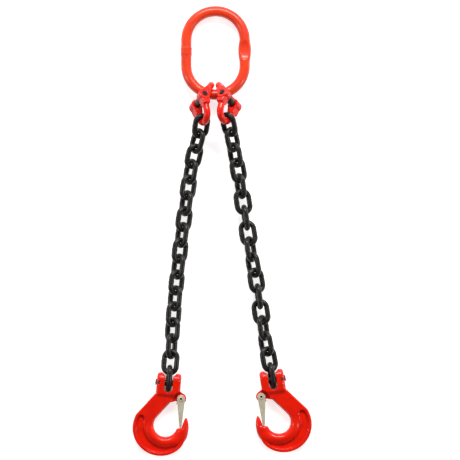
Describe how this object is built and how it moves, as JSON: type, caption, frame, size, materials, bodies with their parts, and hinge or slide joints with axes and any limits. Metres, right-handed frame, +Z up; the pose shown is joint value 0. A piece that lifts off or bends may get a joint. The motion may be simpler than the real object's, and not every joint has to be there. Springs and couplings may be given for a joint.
{
  "type": "chain sling",
  "caption": "Lifting chain sling laid flat: oblong master link, forged coupling links, round-link chain legs and clevis hooks with sprung safety latches.",
  "frame": {"origin": "where a crane hook bears, on the inner face of the master link's top bend", "axes": "+X across to the right leg, +Y from the hooks towards the master link, +Z up from the ground that the sling lies on"},
  "size_m": [0.2734, 0.6862, 0.0621],
  "materials": {
    "master_link_paint": "gloss",
    "fitting_paint": "gloss",
    "chain_steel": "dark oiled",
    "pin_steel": "black",
    "latch_zinc": "zinc plated"
  },
  "bodies": {
    "master_link": {"master_link": "master_link_paint"},
    "left_coupler_upper_half": {"left_coupler_upper_half": "fitting_paint", "left_coupler_pin": "pin_steel", "left_coupler_bush": "pin_steel"},
    "left_coupler_lower_half": {"left_coupler_lower_half": "fitting_paint"},
    "left_chain_link_01": {"left_chain_link_01": "chain_steel"},
    "left_chain_link_02": {"left_chain_link_02": "chain_steel"},
    "left_chain_link_03": {"left_chain_link_03": "chain_steel"},
    "left_chain_link_04": {"left_chain_link_04": "chain_steel"},
    "left_chain_link_05": {"left_chain_link_05": "chain_steel"},
    "left_chain_link_06": {"left_chain_link_06": "chain_steel"},
    "left_chain_link_07": {"left_chain_link_07": "chain_steel"},
    "left_chain_link_08": {"left_chain_link_08": "chain_steel"},
    "left_chain_link_09": {"left_chain_link_09": "chain_steel"},
    "left_chain_link_10": {"left_chain_link_10": "chain_steel"},
    "left_chain_link_11": {"left_chain_link_11": "chain_steel"},
    "left_chain_link_12": {"left_chain_link_12": "chain_steel"},
    "left_chain_link_13": {"left_chain_link_13": "chain_steel"},
    "left_chain_link_14": {"left_chain_link_14": "chain_steel"},
    "left_chain_link_15": {"left_chain_link_15": "chain_steel"},
    "left_chain_link_16": {"left_chain_link_16": "chain_steel"},
    "left_chain_link_17": {"left_chain_link_17": "chain_steel"},
    "left_hook": {"left_hook": "fitting_paint", "left_hook_load_pin": "pin_steel", "left_hook_spring_pin": "pin_steel", "left_latch_rivet": "latch_zinc", "left_latch_spring": "chain_steel"},
    "left_latch": {"left_latch": "latch_zinc"},
    "right_coupler_upper_half": {"right_coupler_upper_half": "fitting_paint", "right_coupler_pin": "pin_steel", "right_coupler_bush": "pin_steel"},
    "right_coupler_lower_half": {"right_coupler_lower_half": "fitting_paint"},
    "right_chain_link_01": {"right_chain_link_01": "chain_steel"},
    "right_chain_link_02": {"right_chain_link_02": "chain_steel"},
    "right_chain_link_03": {"right_chain_link_03": "chain_steel"},
    "right_chain_link_04": {"right_chain_link_04": "chain_steel"},
    "right_chain_link_05": {"right_chain_link_05": "chain_steel"},
    "right_chain_link_06": {"right_chain_link_06": "chain_steel"},
    "right_chain_link_07": {"right_chain_link_07": "chain_steel"},
    "right_chain_link_08": {"right_chain_link_08": "chain_steel"},
    "right_chain_link_09": {"right_chain_link_09": "chain_steel"},
    "right_chain_link_10": {"right_chain_link_10": "chain_steel"},
    "right_chain_link_11": {"right_chain_link_11": "chain_steel"},
    "right_chain_link_12": {"right_chain_link_12": "chain_steel"},
    "right_chain_link_13": {"right_chain_link_13": "chain_steel"},
    "right_chain_link_14": {"right_chain_link_14": "chain_steel"},
    "right_chain_link_15": {"right_chain_link_15": "chain_steel"},
    "right_chain_link_16": {"right_chain_link_16": "chain_steel"},
    "right_chain_link_17": {"right_chain_link_17": "chain_steel"},
    "right_hook": {"right_hook": "fitting_paint", "right_hook_load_pin": "pin_steel", "right_hook_spring_pin": "pin_steel", "right_latch_rivet": "latch_zinc", "right_latch_spring": "chain_steel"},
    "right_latch": {"right_latch": "latch_zinc"}
  },
  "joints": [
    {"name": "left_coupler_joint", "type": "hinge", "parent": "master_link", "child": "left_coupler_upper_half", "pos_m": [-0.01167, -0.11848, 0.01224], "axis": [0.965, -0.2608, 0.027], "range_deg": [-25, 25]},
    {"name": "right_coupler_joint", "type": "hinge", "parent": "master_link", "child": "right_coupler_upper_half", "pos_m": [0.00956, -0.119, 0.0123], "axis": [0.9767, 0.2136, -0.0221], "range_deg": [-25, 25]},
    {"name": "left_coupler_fold_joint", "type": "hinge", "parent": "left_coupler_upper_half", "child": "left_coupler_lower_half", "pos_m": [-0.02397, -0.13078, 0.02433], "axis": [-0.3761, -0.4924, -0.7849], "range_deg": [-30, 30]},
    {"name": "right_coupler_fold_joint", "type": "hinge", "parent": "right_coupler_upper_half", "child": "right_coupler_lower_half", "pos_m": [0.02123, -0.12951, 0.02647], "axis": [0.5012, -0.5225, -0.6898], "range_deg": [-30, 30]},
    {"name": "left_hook_joint", "type": "hinge", "parent": "left_chain_link_17", "child": "left_hook", "pos_m": [-0.07104, -0.55914, 0.00502], "axis": [0.9962, -0.0868, -0.0052], "range_deg": [-30, 20]},
    {"name": "right_hook_joint", "type": "hinge", "parent": "right_chain_link_17", "child": "right_hook", "pos_m": [0.08667, -0.55471, 0.00464], "axis": [-0.9877, -0.1559, -0.0094], "range_deg": [-30, 20]},
    {"name": "left_latch_joint", "type": "hinge", "parent": "left_hook", "child": "left_latch", "pos_m": [-0.05246, -0.58311, 0.00359], "axis": [0, 0.0595, -0.9982], "range_deg": [0, 35], "stiffness_Nm_per_rad": 0.02, "springref_deg": -11.46},
    {"name": "right_latch_joint", "type": "hinge", "parent": "right_hook", "child": "right_latch", "pos_m": [0.06981, -0.57991, 0.00312], "axis": [0, -0.06, 0.9982], "range_deg": [0, 35], "stiffness_Nm_per_rad": 0.02, "springref_deg": -11.46},
    {"name": "left_link_01_joint", "type": "hinge", "parent": "left_coupler_lower_half", "child": "left_chain_link_01", "pos_m": [-0.02082, -0.16232, 0.02838], "axis": [0.4138, -0.3718, 0.831], "range_deg": [-15, 15]},
    {"name": "left_link_02_joint", "type": "hinge", "parent": "left_chain_link_01", "child": "left_chain_link_02", "pos_m": [-0.02534, -0.18373, 0.02103], "axis": [0.8285, -0.0605, -0.5566], "range_deg": [-12, 12]},
    {"name": "left_link_03_joint", "type": "hinge", "parent": "left_chain_link_02", "child": "left_chain_link_03", "pos_m": [-0.03117, -0.20643, 0.01462], "axis": [-0.5075, 0.2939, -0.81], "range_deg": [-15, 15]},
    {"name": "left_link_04_joint", "type": "hinge", "parent": "left_chain_link_03", "child": "left_chain_link_04", "pos_m": [-0.03646, -0.22963, 0.00953], "axis": [-0.836, 0.0773, 0.5433], "range_deg": [-15, 15]},
    {"name": "left_link_05_joint", "type": "hinge", "parent": "left_chain_link_04", "child": "left_chain_link_05", "pos_m": [-0.04035, -0.25347, 0.00676], "axis": [0.572, -0.1369, 0.8087], "range_deg": [-25, 25]},
    {"name": "left_link_06_joint", "type": "hinge", "parent": "left_chain_link_05", "child": "left_chain_link_06", "pos_m": [-0.04396, -0.27748, 0.00524], "axis": [0.8243, -0.0914, -0.5587], "range_deg": [-25, 25]},
    {"name": "left_link_07_joint", "type": "hinge", "parent": "left_chain_link_06", "child": "left_chain_link_07", "pos_m": [-0.0469, -0.30163, 0.00485], "axis": [-0.5466, 0.0768, -0.8339], "range_deg": [-25, 25]},
    {"name": "left_link_08_joint", "type": "hinge", "parent": "left_chain_link_07", "child": "left_chain_link_08", "pos_m": [-0.05022, -0.32573, 0.00481], "axis": [-0.8219, 0.1082, 0.5592], "range_deg": [-25, 25]},
    {"name": "left_link_09_joint", "type": "hinge", "parent": "left_chain_link_08", "child": "left_chain_link_09", "pos_m": [-0.0533, -0.34986, 0.00494], "axis": [0.5776, -0.0607, 0.8141], "range_deg": [-25, 25]},
    {"name": "left_link_10_joint", "type": "hinge", "parent": "left_chain_link_09", "child": "left_chain_link_10", "pos_m": [-0.05591, -0.37405, 0.00498], "axis": [0.7987, -0.091, -0.5948], "range_deg": [-25, 25]},
    {"name": "left_link_11_joint", "type": "hinge", "parent": "left_chain_link_10", "child": "left_chain_link_11", "pos_m": [-0.05863, -0.39823, 0.00502], "axis": [-0.6123, 0.0644, -0.788], "range_deg": [-25, 25]},
    {"name": "left_link_12_joint", "type": "hinge", "parent": "left_chain_link_11", "child": "left_chain_link_12", "pos_m": [-0.06106, -0.42244, 0.00494], "axis": [-0.7575, 0.0663, 0.6494], "range_deg": [-25, 25]},
    {"name": "left_link_13_joint", "type": "hinge", "parent": "left_chain_link_12", "child": "left_chain_link_13", "pos_m": [-0.06314, -0.44668, 0.00498], "axis": [0.6606, -0.052, 0.7489], "range_deg": [-25, 25]},
    {"name": "left_link_14_joint", "type": "hinge", "parent": "left_chain_link_13", "child": "left_chain_link_14", "pos_m": [-0.06494, -0.47094, 0.00489], "axis": [0.7119, -0.0435, -0.7009], "range_deg": [-25, 25]},
    {"name": "left_link_15_joint", "type": "hinge", "parent": "left_chain_link_14", "child": "left_chain_link_15", "pos_m": [-0.06643, -0.49523, 0.00489], "axis": [-0.8275, 0.0506, -0.5592], "range_deg": [-25, 25]},
    {"name": "left_link_16_joint", "type": "hinge", "parent": "left_chain_link_15", "child": "left_chain_link_16", "pos_m": [-0.06799, -0.5195, 0.00504], "axis": [-0.3406, 0.0328, 0.9396], "range_deg": [-25, 25]},
    {"name": "left_link_17_joint", "type": "hinge", "parent": "left_chain_link_16", "child": "left_chain_link_17", "pos_m": [-0.07008, -0.54374, 0.00509], "axis": [0.9951, -0.0696, 0.0697], "range_deg": [-25, 25]},
    {"name": "right_link_01_joint", "type": "hinge", "parent": "right_coupler_lower_half", "child": "right_chain_link_01", "pos_m": [0.01911, -0.16046, 0.03129], "axis": [-0.5275, -0.4052, 0.7467], "range_deg": [-15, 15]},
    {"name": "right_link_02_joint", "type": "hinge", "parent": "right_chain_link_01", "child": "right_chain_link_02", "pos_m": [0.02396, -0.1816, 0.02326], "axis": [0.7739, -0.0323, 0.6325], "range_deg": [-12, 12]},
    {"name": "right_link_03_joint", "type": "hinge", "parent": "right_chain_link_02", "child": "right_chain_link_03", "pos_m": [0.02858, -0.20444, 0.01636], "axis": [-0.6748, -0.2849, 0.6807], "range_deg": [-15, 15]},
    {"name": "right_link_04_joint", "type": "hinge", "parent": "right_chain_link_03", "child": "right_chain_link_04", "pos_m": [0.03312, -0.22775, 0.01113], "axis": [-0.6133, 0.0136, -0.7898], "range_deg": [-15, 15]},
    {"name": "right_link_05_joint", "type": "hinge", "parent": "right_chain_link_04", "child": "right_chain_link_05", "pos_m": [0.03694, -0.25152, 0.00768], "axis": [0.8623, 0.1677, -0.4778], "range_deg": [-25, 25]},
    {"name": "right_link_06_joint", "type": "hinge", "parent": "right_chain_link_05", "child": "right_chain_link_06", "pos_m": [0.04057, -0.2755, 0.00588], "axis": [0.3268, 0.0145, 0.945], "range_deg": [-25, 25]},
    {"name": "right_link_07_joint", "type": "hinge", "parent": "right_chain_link_06", "child": "right_chain_link_07", "pos_m": [0.04444, -0.2995, 0.00489], "axis": [-0.9724, -0.1559, 0.1739], "range_deg": [-25, 25]},
    {"name": "right_link_08_joint", "type": "hinge", "parent": "right_chain_link_07", "child": "right_chain_link_08", "pos_m": [0.04826, -0.32352, 0.00476], "axis": [0.0172, 0.003, -0.9998], "range_deg": [-25, 12]},
    {"name": "right_link_09_joint", "type": "hinge", "parent": "right_chain_link_08", "child": "right_chain_link_09", "pos_m": [0.05232, -0.34751, 0.00473], "axis": [0.9339, 0.1479, 0.3256], "range_deg": [-25, 25]},
    {"name": "right_link_10_joint", "type": "hinge", "parent": "right_chain_link_09", "child": "right_chain_link_10", "pos_m": [0.0562, -0.37153, 0.00459], "axis": [0.5909, 0.1149, -0.7986], "range_deg": [-25, 25]},
    {"name": "right_link_11_joint", "type": "hinge", "parent": "right_chain_link_10", "child": "right_chain_link_11", "pos_m": [0.06076, -0.39543, 0.0045], "axis": [-0.5649, -0.0996, -0.8191], "range_deg": [-25, 25]},
    {"name": "right_link_12_joint", "type": "hinge", "parent": "right_chain_link_11", "child": "right_chain_link_12", "pos_m": [0.06471, -0.41943, 0.00464], "axis": [-0.947, -0.1331, 0.2923], "range_deg": [-25, 25]},
    {"name": "right_link_13_joint", "type": "hinge", "parent": "right_chain_link_12", "child": "right_chain_link_13", "pos_m": [0.0681, -0.44352, 0.00466], "axis": [-0.0172, -0.0027, 0.9998], "range_deg": [-25, 25]},
    {"name": "right_link_14_joint", "type": "hinge", "parent": "right_chain_link_13", "child": "right_chain_link_14", "pos_m": [0.07182, -0.46757, 0.00465], "axis": [0.9351, 0.1398, 0.3256], "range_deg": [-25, 25]},
    {"name": "right_link_15_joint", "type": "hinge", "parent": "right_chain_link_14", "child": "right_chain_link_15", "pos_m": [0.0755, -0.49162, 0.0045], "axis": [-0.5918, -0.1097, 0.7986], "range_deg": [-25, 25]},
    {"name": "right_link_16_joint", "type": "hinge", "parent": "right_chain_link_15", "child": "right_chain_link_16", "pos_m": [0.07997, -0.51553, 0.00455], "axis": [-0.563, -0.1094, -0.8191], "range_deg": [-25, 25]},
    {"name": "right_link_17_joint", "type": "hinge", "parent": "right_chain_link_16", "child": "right_chain_link_17", "pos_m": [0.08434, -0.53946, 0.00468], "axis": [0.9446, 0.1496, -0.2923], "range_deg": [-25, 25]}
  ]
}
